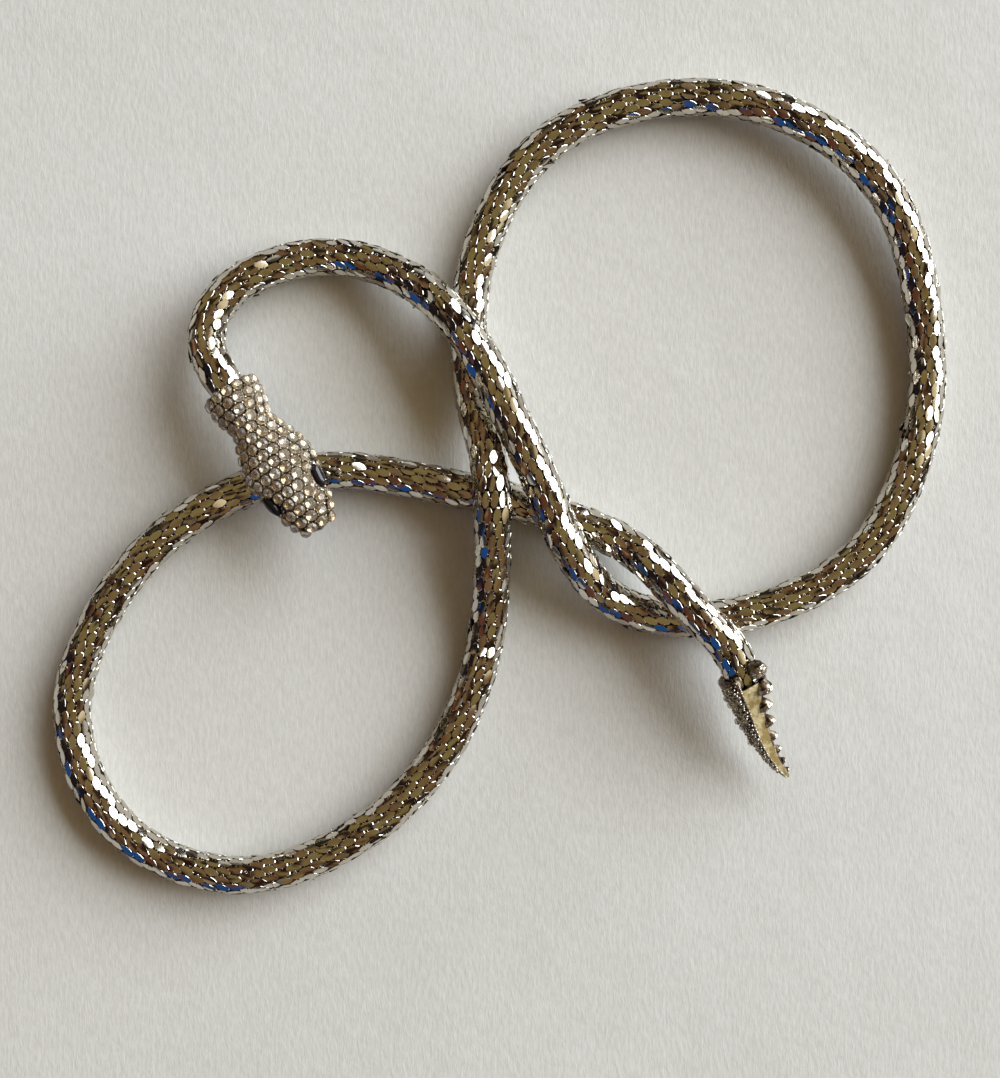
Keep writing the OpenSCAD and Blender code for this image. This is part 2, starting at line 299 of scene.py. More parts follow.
def make_materials():
    finishes = {
        "scale": silver_scale, "painted_shade": painted_shade_liner, "wire": bright_wire, "setting": dark_setting,
        "crystal": crystal, "foil": foil, "eye": black_glass, "cream": cream_plate, "table": paper_table,
    }
    return {name: principled(name + "_finish", finish) for name, finish in finishes.items()}


# Meshes from arrays

MIDDLE_TONE = np.full(1, 0.5)


class Shape:
    """Points, and groups of faces: each group has an array with a row for each face, a material slot
    and whether it is shaded smooth."""

    def __init__(self, points, *groups):
        self.points = np.asarray(points, float)
        self.groups = groups


class Solid:
    """Shapes gathered in millimetres until they become one piece."""

    def __init__(self):
        self.points, self.tones, self.count = [], [], 0
        self.loops, self.sizes, self.slots, self.flats = [], [], [], []

    def add(self, shape):
        """Adds one shape as it stands."""
        return self.stamp(shape, (np.zeros((1, 3)), np.eye(3)[None]), MIDDLE_TONE)

    def stamp(self, shape, places, tones):
        """Adds a copy of the shape at each place: an origin and a matrix whose rows are its axes."""
        origins, axes = places
        points = origins[:, None] + np.einsum("vk,nkj->nvj", shape.points, axes)
        many, each = len(origins), len(shape.points)
        self.points.append(points.reshape(-1, 3))
        self.tones.append(np.repeat(tones, each))
        start = self.count + each * np.arange(many)
        for faces, slot, smooth in shape.groups:
            faces = np.asarray(faces)
            self.loops.append((start[:, None, None] + faces[None]).ravel())
            self.sizes.append(np.full(many * len(faces), faces.shape[1]))
            self.slots.append(np.full(many * len(faces), slot))
            self.flats.append(np.full(many * len(faces), not smooth))
        self.count += many * each
        return self

    def piece(self, name, materials):
        """All that was gathered, as one mesh object."""
        sizes = np.concatenate(self.sizes)
        loops = np.concatenate(self.loops)
        mesh = bpy.data.meshes.new(name)
        mesh.vertices.add(self.count)
        mesh.vertices.foreach_set("co", (np.concatenate(self.points) * MM).ravel().astype(np.float32))
        mesh.loops.add(len(loops))
        mesh.loops.foreach_set("vertex_index", loops.astype(np.int32))
        mesh.polygons.add(len(sizes))
        mesh.polygons.foreach_set("loop_start", (np.cumsum(sizes) - sizes).astype(np.int32))
        mesh.polygons.foreach_set("material_index", np.concatenate(self.slots).astype(np.int32))
        flat = mesh.attributes.new("sharp_face", "BOOLEAN", "FACE")
        flat.data.foreach_set("value", np.concatenate(self.flats))
        tone = mesh.attributes.new("tone", "FLOAT", "POINT")
        tone.data.foreach_set("value", np.concatenate(self.tones).astype(np.float32))
        for material in materials:
            mesh.materials.append(material)
        mesh.update(calc_edges=True)
        mesh.validate()
        made = bpy.data.objects.new(name, mesh)
        bpy.context.scene.collection.objects.link(made)
        return made


def circle(n, radius, height, turn=0.0):
    a = turn + 2 * math.pi * np.arange(n) / n
    return np.stack([radius * np.cos(a), radius * np.sin(a), np.full(n, height)], 1)


def band(n, first, second):
    """The four-sided faces between two rings of n points that start at first and second."""
    k = np.arange(n)
    j = (k + 1) % n
    return np.stack([first + k, first + j, second + j, second + k], 1)


def bands(n, rings):
    """The bands between all of the rings in a row."""
    return np.concatenate([band(n, i * n, (i + 1) * n) for i in range(rings - 1)])


def fan(n, first, centre):
    """The three-sided faces between a ring of n points and its centre."""
    k = np.arange(n)
    return np.stack([first + k, first + (k + 1) % n, np.full(n, centre)], 1)


def lathe(profile, sides, slot=0):
    """A round shape from (radius, height) pairs, closed at both ends by a fan."""
    rings = [circle(sides, r, h) for r, h in profile]
    ends = np.array([[0, 0, profile[0][1]], [0, 0, profile[-1][1]]])
    total = sides * len(profile)
    faces = bands(sides, len(profile))
    caps = np.concatenate([fan(sides, 0, total)[:, ::-1], fan(sides, total - sides, total + 1)])
    return Shape(np.concatenate(rings + [ends]), (faces, slot, True), (caps, slot, True))


def hoop(radius, wire, sides, wire_sides):
    """A ring of round wire lying flat."""
    a = 2 * math.pi * np.arange(sides) / sides
    b = 2 * math.pi * np.arange(wire_sides) / wire_sides
    r = radius + wire * np.cos(b)[None]
    height = np.broadcast_to(wire * np.sin(b), (sides, wire_sides))
    points = np.stack([r * np.cos(a)[:, None], r * np.sin(a)[:, None], height], 2).reshape(-1, 3)
    i, j = np.meshgrid(np.arange(sides), np.arange(wire_sides), indexing="ij")
    corner = [(i, j), (i + 1, j), (i + 1, j + 1), (i, j + 1)]
    faces = np.stack([(p % sides) * wire_sides + q % wire_sides for p, q in corner], 2).reshape(-1, 4)
    return Shape(points, (faces, 0, True))


# The tube's path and surface

SURFACE_SIDES = 48
# The rings of scales lie about this far apart, and share the length less a margin
RING_STEP, SCALE_MARGIN = 3.0, 0.4


def unit(v):
    return v / np.linalg.norm(v, axis=-1, keepdims=True)


def axis_of(turn, pitch):
    """The direction with this turn about z and this pitch upward, in degrees."""
    turn, pitch = math.radians(turn), math.radians(pitch)
    return np.array([math.cos(pitch) * math.cos(turn), math.cos(pitch) * math.sin(turn), math.sin(pitch)])


def route_points():
    """The points of the middle line: straight out of the head's socket, the route, and into the tail's."""
    head, tail = np.array(HEAD_RIM), np.array(TAIL_RIM, float)
    ahead, astern = axis_of(HEAD_TURN, HEAD_PITCH), axis_of(TAIL_TURN, -TAIL_PITCH)
    first = [head + s * ahead for s in (HEAD_SOCKET - END_GAP, 0, -STRAIGHT)]
    last = [tail + s * astern for s in (-STRAIGHT, 0, TAIL_SOCKET - END_GAP)]
    middle = [np.array([x, y, TUBE_R + rise * STRAND_STEP]) for x, y, rise in ROUTE]
    return np.array(first + middle + last)


def smooth_path(points, steps=30):
    """The same smooth curve as the solid tube's, in fine steps."""
    chord = np.diff(points, axis=0)
    reach = np.linalg.norm(chord, axis=1)
    way = chord / reach[:, None]
    inner = unit(reach[1:, None] * way[:-1] + reach[:-1, None] * way[1:])
    heading = np.concatenate([way[:1], inner, way[-1:]])
    t = (np.arange(steps) / steps)[None, :, None]
    a, b = points[:-1, None], points[1:, None]
    ma, mb = reach[:, None, None] * heading[:-1, None], reach[:, None, None] * heading[1:, None]
    curve = ((2 * t**3 - 3 * t**2 + 1) * a + (t**3 - 2 * t**2 + t) * ma
             + (3 * t**2 - 2 * t**3) * b + (t**3 - t**2) * mb)
    curve = np.concatenate([curve.reshape(-1, 3), points[-1:]])
    curve[:, 2] = np.maximum(curve[:, 2], TUBE_R)
    return curve


class Tube:
    """The tube's middle line, with a point on its surface for each length and angle."""

    def __init__(self):
        self.curve = smooth_path(route_points())
        tangent = unit(np.gradient(self.curve, axis=0))
        self.side = unit(np.cross([0, 0, 1.0], tangent))
        self.up = np.cross(tangent, self.side)
        steps = np.linalg.norm(np.diff(self.curve, axis=0), axis=1)
        self.run = np.concatenate([[0], np.cumsum(steps)])
        self.length = self.run[-1]
        self.rings = round(self.length / RING_STEP)
        self.step = (self.length - SCALE_MARGIN) / self.rings
        # The whole is moved so that the tube's box in plan has the same middle as the solid tube's
        plan = (self.curve[:, None] + TUBE_R * self.ring_directions())[..., :2].reshape(-1, 2)
        low, high = (np.array(corner)[:2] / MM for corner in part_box("mesh_body"))
        self.shift = np.array([*((low + high) / 2 - (plan.min(0) + plan.max(0)) / 2), 0])
        self.curve = self.curve + self.shift

    def ring_directions(self):
        a = 2 * math.pi * np.arange(SURFACE_SIDES) / SURFACE_SIDES
        return np.cos(a)[None, :, None] * self.side[:, None] + np.sin(a)[None, :, None] * self.up[:, None]

    def at(self, values, s):
        """One of the lists along the line, at length s."""
        return np.stack([np.interp(s, self.run, values[:, k]) for k in range(3)], -1)

    def out(self, s, a):
        """The direction away from the middle line at length s and angle a."""
        side, up = self.at(self.side, s), self.at(self.up, s)
        return unit(np.cos(a)[..., None] * side + np.sin(a)[..., None] * up)

    def surface(self, s, a, radius):
        return self.at(self.curve, s) + radius * self.out(s, a)


# The woven scales

SCALES_ROUND = 13
# Every second ring of scales stands this much higher
RING_RAISE = 0.14
SCALE_R = 4.55
SCALE_OUTLINE = [(1.95, 0.32), (1.1, 0.8), (0, 1.02), (-1.1, 0.8), (-1.95, 0.32)]
# The flat face's share of the outline, along and across
FACE_SHARE = (0.89, 0.95)
# Round a bend the scales are drawn together on the inside and apart on the outside, within these
SHORTEST, LONGEST = 0.78, 1.12
# The columns of scales wind round the tube by this much for each millimetre, now faster, now slower
TWIST, TWIST_SWAY, TWIST_WAVE = 0.038, 22, 75
# How far the pieces rock about their own axes, in degrees, and the few that sit loose
SCALE_ROCK, LINK_ROCK, LOOSE_SHARE, LOOSE_TIMES = 3.6, 14, 0.08, 3
# Pieces whose middle is lower than this lie on the table and stay level
LEVEL_UNDER = 0.5
LINK_R, LINK_WIRE, LINK_SINK = 0.34, 0.088, 0.12
LINER_R, LINER_SIDES, LINER_STEP = 4.1, 26, 2


def column_angle(s):
    """How far the columns of scales have wound round the tube at length s."""
    return TWIST * (s - TWIST_SWAY * np.cos(s / TWIST_WAVE))


def scale_shape():
    """A plate with a flat bright face and bent-down ends; its sides are near-black, painted shade between
    the plates.
    """
    half = np.array(SCALE_OUTLINE)
    outline = np.concatenate([half, -half])
    n = len(outline)
    # The face has its own ring of points at the bend, so that its shading starts afresh there
    face = outline * FACE_SHARE
    levels = [(outline * 0.98, -0.5), (outline, -0.11), (face, 0.0), (face, 0.0), (outline * 0.5, 0.02)]
    points = np.concatenate([np.column_stack([o, np.full(n, h)]) for o, h in levels] + [[[0, 0, 0.026]]])
    # The outline runs clockwise seen from outside, so its faces are turned round
    sides, bend, slope = (band(n, k * n, (k + 1) * n)[:, ::-1] for k in (0, 1, 3))
    crest = fan(n, 4 * n, 5 * n)[:, ::-1]
    return Shape(points, (sides, 1, False), (bend, 0, False), (slope, 0, True), (crest, 0, True))


def scale_places(tube, first, last, radius, ahead):
    """Where the scales of the rings from first to last lie, each with its long axis along its column.
    They can lie ahead by a share of a ring."""
    ring, spot = np.meshgrid(np.arange(first, last), np.arange(SCALES_ROUND), indexing="ij")
    s = (ring.ravel() + 0.5 + ahead) * tube.step
    turn = 2 * math.pi * (spot.ravel() + 0.5 * (ring.ravel() % 2)) / SCALES_ROUND
    a = turn + column_angle(s)
    radius = radius + RING_RAISE * (ring.ravel() % 2 - 0.5)[:, None]
    near = 0.3
    before = tube.surface(s - near, turn + column_angle(s - near), radius)
    after = tube.surface(s + near, turn + column_angle(s + near), radius)
    length = (after - before) / (2 * near)
    stretch = np.clip(np.linalg.norm(length, axis=1, keepdims=True), SHORTEST, LONGEST)
    length = unit(length)
    out = tube.out(s, a)
    across = unit(np.cross(out, length))
    out = np.cross(length, across)
    return tube.surface(s, a, radius), np.stack([length * stretch, across, out], 1)


def tilted(places, degrees):
    """The places, each rocked a little about its own two axes, and a few of them more. Those that lie
    on the table stay level."""
    origins, axes = places
    rock = np.radians(degrees) * random.standard_normal((len(origins), 2))
    loose = np.where(random.random((len(origins), 1)) < LOOSE_SHARE, LOOSE_TIMES, 1)
    rock *= loose * np.clip(origins[:, 2:] - LEVEL_UNDER, 0, 1)
    out = axes[:, 2]
    along = axes[:, 0] + rock[:, :1] * out
    across = axes[:, 1] + rock[:, 1:] * out
    normal = unit(np.cross(along, across))
    return origins, np.stack([along, across, normal], 1)


def woven(tube, names, rings, shape, radius, ahead, rock, materials):
    """Pieces of one shape laid all along the tube, each piece with its share of the rings."""
    cuts = np.linspace(0, rings, len(names) + 1).astype(int)
    pieces = []
    for name, first, last in zip(names, cuts[:-1], cuts[1:]):
        places = tilted(scale_places(tube, first, last, radius, ahead), rock)
        solid = Solid().stamp(shape, places, random.random(len(places[0])))
        pieces.append(solid.piece(name, materials))
    return pieces


def make_scales(tube, finish):
    names = ("scales_neck", "scales_middle", "scales_tail")
    # The plates' sides take the near-black finish: painted shade between the plates
    materials = [finish["scale"], finish["painted_shade"]]
    return woven(tube, names, tube.rings, scale_shape(), SCALE_R, 0.0, SCALE_ROCK, materials)


def make_links(tube, finish):
    """The small wire rings that join the tips of the scales."""
    names = ("links_neck", "links_tail")
    link = hoop(LINK_R, LINK_WIRE, sides=9, wire_sides=4)
    return woven(tube, names, tube.rings - 1, link, SCALE_R - LINK_SINK, 1.0, LINK_ROCK, [finish["wire"]])


def make_shade_liner(tube, finish):
    """A sheet inside the mesh in near-black, painted shade seen between the scales."""
    sides, count = LINER_SIDES, int(tube.length / LINER_STEP)
    s = np.linspace(0, tube.length, count)
    a = 2 * math.pi * np.arange(sides) / sides
    points = tube.surface(np.repeat(s, sides), np.tile(a, count), LINER_R)
    ends = tube.at(tube.curve, s[[0, -1]])
    total = sides * count
    walls = bands(sides, count)[:, ::-1]
    caps = np.concatenate([fan(sides, 0, total), fan(sides, total - sides, total + 1)[:, ::-1]])
    shape = Shape(np.concatenate([points, ends]), (walls, 0, True), (caps, 0, False))
    return Solid().add(shape).piece("mesh_shade_liner", [finish["painted_shade"]])


# Surfaces of the head and the tail


def section(table, q):
    """The row of the table at q, a count of rows with a fraction, on a smooth curve."""
    q = np.asarray(q, float)
    last = len(table) - 1
    i = np.minimum(np.floor(q).astype(int), last - 1)
    t = (q - i)[..., None]
    a, b, c, d = (table[np.clip(i + k, 0, last)] for k in (-1, 0, 1, 2))
    return (2 * b + t * (c - a) + t**2 * (2 * a - 5 * b + 4 * c - d) + t**3 * (3 * b - a - 3 * c + d)) / 2


def row_at(table, along):
    """The place in the table, as a count of rows, of a distance along."""
    return np.interp(along, table[:, AT], np.arange(len(table)))


def head_point(q, a):
    """Points on the head's skin at q rows, and a degrees round from its side over its top."""
    row, sine = section(HEAD, q), np.sin(np.radians(a))
    depth = np.where(sine > 0, row[..., TOP], row[..., UNDER])
    return np.stack([row[..., AT], row[..., SIDE] * np.cos(np.radians(a)), depth * sine], -1)


# The tail's back is flat between this angle and the same on its other side
FLAT_FROM = 60


def tail_point(q, a):
    """Points on the tail's skin, likewise: a round shoulder on each side, the flat back and the front."""
    row = section(TAIL, q)
    a = np.mod(np.asarray(a, float), 360) + 0 * row[..., AT]
    hand = np.where((a > 90) & (a < 270), -1, 1)
    m = np.where(a > 90, 180 - a, a)
    b = np.radians(90 * m / FLAT_FROM)
    side, flat = row[..., SIDE], row[..., FLAT]
    beside = row[..., FLAT_SHIFT]
    shoulder = (beside * np.sin(b) + hand * (flat + (side - flat) * np.cos(b)), row[..., TOP] * np.sin(b))
    back = (beside + hand * flat * (90 - m) / (90 - FLAT_FROM), row[..., TOP])
    front = (side * np.cos(np.radians(a)), row[..., UNDER] * np.sin(np.radians(a)))
    pick = np.where(a > 180, 2, np.where(m < FLAT_FROM, 0, 1))
    y = np.choose(pick, [shoulder[0], back[0], front[0]])
    z = np.choose(pick, [shoulder[1], back[1], front[1]])
    return np.stack([row[..., AT], row[..., SHIFT] + y, z], -1)


def seat(point, q, a, lift):
    """Frames on such a surface: an origin, and rows for forward, side and out."""
    q, a = np.atleast_1d(np.asarray(q, float)), np.atleast_1d(np.asarray(a, float))
    dq, da = 0.02, 1
    out = unit(np.cross(point(q + dq, a) - point(q - dq, a), point(q, a - da) - point(q, a + da)))
    forward = unit(np.cross(out, np.cross([1.0, 0, 0], out)))
    side = np.cross(out, forward)
    return point(q, a) + lift * out, np.stack([forward, side, out], 1)


def seats_in_rows(point, line, first, last, top, reach, pitch, rows):
    """Rows of seats round such a surface, every second row shifted by half a pitch. The rows are spaced
    along a line, and each reaches so many degrees to both sides of the angle top."""
    degrees = 5
    q = np.linspace(first, last, 81)
    run = np.concatenate([[0], np.cumsum(np.linalg.norm(np.diff(point(q, line), axis=0), axis=1))])
    found = []
    for i in range(int(run[-1] / rows) + 1):
        row = np.interp(i * rows, run, q)
        turn = np.arange(0, reach + degrees + 0.1, degrees)
        around = point(np.full(len(turn), row), top - turn)
        far = np.concatenate([[0], np.cumsum(np.linalg.norm(np.diff(around, axis=0), axis=1))])[:-1]
        turn = turn[:-1]
        n = int(far[-1] / pitch) + 2
        for j in range(-n, n + 1):
            s = (j + (0 if i % 2 == 0 else 0.5)) * pitch
            if abs(s) <= far[-1]:
                found.append((row, top - np.sign(s) * np.interp(abs(s), far, turn)))
    return np.array(found)


class Stand:
    """Where the head or the tail stands: turns its own frame into the row's."""

    def __init__(self, rim, turn, pitch, roll, shift):
        (ct, st), (cp, sp), (cr, sr) = (
            (math.cos(math.radians(v)), math.sin(math.radians(v))) for v in (turn, pitch, roll))
        about_z = np.array([[ct, -st, 0], [st, ct, 0], [0, 0, 1]])
        about_y = np.array([[cp, 0, sp], [0, 1, 0], [-sp, 0, cp]])
        about_x = np.array([[1, 0, 0], [0, cr, -sr], [0, sr, cr]])
        self.matrix = about_z @ about_y @ about_x
        self.rim = np.array(rim, float) + shift

    def points(self, local):
        return local @ self.matrix.T + self.rim

    def places(self, places):
        return self.points(places[0]), places[1] @ self.matrix.T


def shifted(places, x=0.0, y=0.0, z=0.0, size=1.0):
    """The places moved along their own axes, and scaled."""
    origins, axes = places
    size = np.broadcast_to(np.asarray(size, float), (len(origins),))
    move = np.stack([np.broadcast_to(v, (len(origins),)) for v in (x, y, z)], 1)
    return origins + np.einsum("nk,nkj->nj", move * size[:, None], axes), axes * size[:, None, None]


def leaned(places, degrees):
    """The places with their out axis leaned forward."""
    origins, axes = places
    c, s = math.cos(math.radians(degrees)), math.sin(math.radians(degrees))
    forward, side, out = axes[:, 0], axes[:, 1], axes[:, 2]
    return origins, np.stack([c * forward - s * out, side, c * out + s * forward], 1)


CASTING_SIDES, CASTING_STEPS, TIP_REACH, BORE_R = 72, 7, 0.35, 4.8


def casting_shape(point, table, socket, slots, notch=None):
    """A closed casting: the outer skin, the rim, the socket and its end. A notch in the rim is given by
    its length, by how many lengths it takes to fade out, by the angles on the skin between which it
    lies with a third where its pull ends, and by the same angles in the bore."""
    sides, rows = CASTING_SIDES, len(table) - 1
    q = np.linspace(0, rows, rows * CASTING_STEPS + 1)
    a = 360 * np.arange(sides) / sides
    rim, around, row = np.zeros(sides), a, np.repeat(q, sides)
    if notch:
        length, fade, skin_ends, bore_ends = notch
        open_side = np.tile((a > skin_ends[0]) & (a < skin_ends[1]), len(q))
        start, settled = row_at(table, length), row_at(table, fade * length)
        row = np.where(open_side & (row < settled), start + row * (settled - start) / settled, row)
        rim = np.where(open_side[:sides], length, 0)
        around = np.interp(a, [0, *skin_ends, 360], [0, *bore_ends, 360])
    skin = point(row, np.tile(a, len(q)))
    bore = [np.stack([x, BORE_R * np.cos(np.radians(around)), BORE_R * np.sin(np.radians(around))], 1)
            for x in (rim, np.full(sides, socket))]
    total = len(q) * sides
    tip = skin[-sides:].mean(0) + [TIP_REACH, 0, 0]
    points = np.concatenate([skin, *bore, [[socket, 0, 0]], [tip]])
    walls = bands(sides, len(q))
    inside = np.concatenate([band(sides, total, 0), band(sides, total + sides, total)])
    ends = np.concatenate([fan(sides, total + sides, total + 2 * sides)[:, ::-1],
                           fan(sides, total - sides, total + 2 * sides + 1)])
    slot_of = np.tile(slots(a + 180 / sides), len(q) - 1)
    groups = [(walls[slot_of == k], k, True) for k in np.unique(slot_of)]
    return Shape(points, *groups, (inside, 0, True), (ends, 0, True))


# Stones, cups and beads

# A stone's crown has this many main facets, and its girdle two corners for each
MAINS = 8
GIRDLE_SIDES = 2 * MAINS


def stone_shape(d, h):
    """A round brilliant with flat facets: a glass crown over a foil-backed cone of two slopes."""
    glass, foil_back = 0, 1
    r = d / 2
    girdle, crown = 0.34 * h, 0.72 * h
    rings = [circle(GIRDLE_SIDES, r, 0.2 * h), circle(GIRDLE_SIDES, r, girdle),
             circle(MAINS, 0.8 * r, crown), circle(MAINS, 0.56 * r, h, math.pi / MAINS),
             circle(MAINS, 0.52 * r, -0.06 * h, math.pi / MAINS)]
    n = GIRDLE_SIDES
    low, mid, upper, table, under, culet = 0, n, 2 * n, 2 * n + MAINS, 3 * n, 3 * n + MAINS
    points = np.concatenate(rings + [[[0, 0, -0.26 * h]]])
    k = np.arange(MAINS)
    j = (k + 1) % MAINS
    belt = band(n, low, mid)
    kites = np.stack([upper + k, mid + 2 * k, mid + (2 * k + 1) % n], 1)
    kites_back = np.stack([upper + k, mid + (2 * k - 1) % n, mid + 2 * k], 1)
    between = np.stack([upper + k, mid + (2 * k + 1) % n, upper + j], 1)
    stars = np.stack([upper + k, upper + j, table + k], 1)
    points_up = np.stack([upper + k, table + k, table + (k - 1) % MAINS], 1)
    crown_faces = np.concatenate([kites, kites_back, between, stars, points_up])
    top = (table + k)[None]
    first, middle, last = (low + (2 * k + i) % n for i in (0, 1, 2))
    cone = np.concatenate([np.stack([middle, first, under + k], 1), np.stack([last, middle, under + k], 1),
                           np.stack([last, under + k, under + j], 1), fan(MAINS, under, culet)[:, ::-1]])
    return Shape(points, (belt, glass, False), (crown_faces, glass, False), (top, glass, False),
                 (cone, foil_back, False))


def bead_shape(radius, slot=0):
    """A low round bead, its lower half sunk in the metal."""
    profile = [(0.6, -0.8), (1, -0.2), (0.95, 0.3), (0.7, 0.7), (0.3, 0.95)]
    return lathe([(radius * r, radius * h) for r, h in profile], sides=8, slot=slot)


def cup_ring(d):
    """The rim of metal that holds a stone."""
    r = d / 2
    profile = [(r + 0.07, -0.3), (r + 0.07, 0.16), (r + 0.03, 0.24), (r - 0.03, 0.22), (r - 0.08, -0.3)]
    sides = GIRDLE_SIDES
    rings = [circle(sides, radius, height) for radius, height in profile]
    return Shape(np.concatenate(rings), (bands(sides, len(profile)), 0, True))


def gaps_between(origins, axes, reach):
    """The middle of each three neighbouring seats, as places."""
    away = np.linalg.norm(origins[:, None] - origins[None], axis=2)
    near = (away < reach) & (away > 0)
    spots, frames = [], []
    for i in range(len(origins)):
        for j in np.flatnonzero(near[i]):
            for k in np.flatnonzero(near[i] & near[j]):
                if i < j < k:
                    trio = [i, j, k]
                    out = unit(axes[trio, 2].mean(0))
                    forward = unit(np.cross(axes[i, 1], out))
                    spots.append(origins[trio].mean(0))
                    frames.append(np.stack([forward, np.cross(out, forward), out]))
    return np.array(spots), np.array(frames)


# The head

STONE_D, STONE_H, STONE_PITCH, ROW_PITCH, SEAT_GAP, STONE_ROCK = 2.7, 1.0, 2.85, 2.65, 0.2, 4
# The first row's distance from the rim, how many rows of the table the last stays short of the tip,
# the angle that the rows' spacing is measured along, and how far round the rows reach
FIRST_ROW, LAST_SHORT, ROW_LINE, ROW_REACH = 1.5, 1.1, 45, 115
EYE_L, EYE_W, EYE_H, EYE_ALONG, EYE_ANGLE, EYE_CLEAR = 6.2, 3.2, 1.5, 30, 25, 1.1
# Beads: between three stones and round the eyes, with their number there, and along the collar's rim
BEAD_R, BEAD_LIFT, TRIO_REACH, EYE_BEADS = 0.34, 0.3, 3.6, 22
RIM_BEAD_R, RIM_BEAD_ALONG, RIM_BEADS = 0.4, 0.35, 30


def eye_angle(hand):
    return EYE_ANGLE if hand > 0 else 180 - EYE_ANGLE


def head_seats():
    first, last = row_at(HEAD, FIRST_ROW), len(HEAD) - LAST_SHORT
    found = seats_in_rows(head_point, ROW_LINE, first, last, 90, ROW_REACH, STONE_PITCH, ROW_PITCH)
    spots = head_point(found[:, 0], found[:, 1])
    clear = np.ones(len(found), bool)
    for hand in (1, -1):
        eye = head_point(row_at(HEAD, EYE_ALONG), np.array(eye_angle(hand)))
        along = (spots[:, 0] - eye[0]) / (EYE_L / 2 + EYE_CLEAR)
        across = np.linalg.norm(spots[:, 1:] - eye[1:], axis=1) / (EYE_W / 2 + EYE_CLEAR)
        clear &= along**2 + across**2 >= 1
    return found[clear]


def make_head(tube, finish):
    stand = Stand(HEAD_RIM, HEAD_TURN, -HEAD_PITCH, 0, tube.shift)
    found = head_seats()
    seats = seat(head_point, found[:, 0], found[:, 1], SEAT_GAP)
    setting = Solid()
    shape = casting_shape(head_point, HEAD, HEAD_SOCKET, lambda a: np.zeros(len(a), int))
    shape.points = stand.points(shape.points)
    setting.add(shape)
    setting.stamp(cup_ring(STONE_D), stand.places(seats), random.random(len(found)))
    bead, rim_bead = bead_shape(BEAD_R, slot=1), bead_shape(RIM_BEAD_R)
    fields = [
        (bead, shifted(gaps_between(*seats, TRIO_REACH), z=BEAD_LIFT)),
        (bead, beads_round_eye(1)),
        (bead, beads_round_eye(-1)),
        (rim_bead, rim_beads()),
    ]
    for shape, places in fields:
        setting.stamp(shape, stand.places(places), random.random(len(places[0])))
    piece = setting.piece("head_setting", [finish["setting"], finish["wire"]])
    places = stand.places(tilted(seats, STONE_ROCK))
    stones = Solid().stamp(stone_shape(STONE_D, STONE_H), places, random.random(len(found)))
    crystals = stones.piece("head_crystals", [finish["crystal"], finish["foil"]])
    return piece, crystals, [make_eye(stand, hand, finish) for hand in (1, -1)]


def rim_beads():
    """Beads along the collar's rim."""
    q = np.full(RIM_BEADS, row_at(HEAD, RIM_BEAD_ALONG))
    return seat(head_point, q, 360 * np.arange(RIM_BEADS) / RIM_BEADS, 0.0)


def beads_round_eye(hand):
    """Beads on the head's surface in an oval round one eye."""
    row, angle = row_at(HEAD, EYE_ALONG), eye_angle(hand)
    turn = 2 * math.pi * (np.arange(EYE_BEADS) + 0.5) / EYE_BEADS
    mm_a_degree = np.linalg.norm(head_point(row, angle + 1.0) - head_point(row, angle - 1.0)) / 2
    half_length, half_width, lift = EYE_L / 2 + 0.55, EYE_W / 2 + 0.4, 0.05
    q = row_at(HEAD, EYE_ALONG + half_length * np.cos(turn))
    return seat(head_point, q, angle + half_width * np.sin(turn) / mm_a_degree, lift)


def make_eye(stand, hand, finish):
    """A black marquise stone with a point of metal at each end."""
    steps, levels, skirt_depth = 28, 7, 0.2
    around = 2 * math.pi * np.arange(steps) / steps
    x = np.cos(around)
    edge = np.sign(np.sin(around + 1e-9)) * (1 - x**2) ** 0.8
    rings = []
    for k in range(levels):
        angle = math.pi / 2 * k / levels
        w, h = math.cos(angle), 0.25 + 0.75 * math.sin(angle)
        rings.append(np.stack([w * EYE_L / 2 * x, w * EYE_W / 2 * edge, np.full(steps, h * EYE_H)], 1))
    skirt = rings[0] * [1, 1, 0] - [0, 0, skirt_depth]
    points = np.concatenate([skirt] + rings + [[[0, 0, EYE_H]]])
    caps = fan(steps, levels * steps, (levels + 1) * steps)
    dome = Shape(points, (bands(steps, levels + 1), 0, True), (caps, 0, True))
    place = seat(head_point, row_at(HEAD, EYE_ALONG), eye_angle(hand), SEAT_GAP)
    solid = Solid().stamp(dome, stand.places(place), MIDDLE_TONE)
    claw = lathe([(0.55, -0.5), (0.5, 0.5), (0.2, 0.9)], sides=10, slot=1)
    for end in (1, -1):
        solid.stamp(claw, stand.places(shifted(place, x=end * EYE_L / 2)), MIDDLE_TONE)
    name = "eye_left_stone" if hand > 0 else "eye_right_stone"
    return solid.piece(name, [finish["eye"], finish["wire"]])


# The tail

CUPS, CUP_FIRST, CUP_LAST, CUP_ANGLES, CUP_LEAN, CUP_RISES = 8, 0.6, 28.4, (54, 4), 60, (0.5, 0.3)
CUP_R, CUP_BACK_R, CUP_DEPTH, CUP_LIP, CUP_STONE, CUP_STONE_LIFT = 2.4, 1.2, 3.2, 0.3, 3.9, 0.1
# The cups draw together towards the tip by this power, and lose this share of their size
CUP_CROWD, CUP_SHRINK = 1.2, 0.72
# The collar is open on its back: how long, how soon the opening fades, and its angles outside and in
NOTCH = 2.8, 2.2, (45, 120, 200), (53, 146, 205)
KNOB_R, KNOB_ALONG, KNOB_ANGLE, KNOB_LIFT = 0.95, 2.0, 158, 0.1
# The small stones on the rounded front: size, pitch, first and last row, and how far round they go
FRONT_D, FRONT_H, FRONT_PITCH, FRONT_ROWS, FRONT_REACH = 1.8, 0.8, 2.15, (1.6, 20), 55
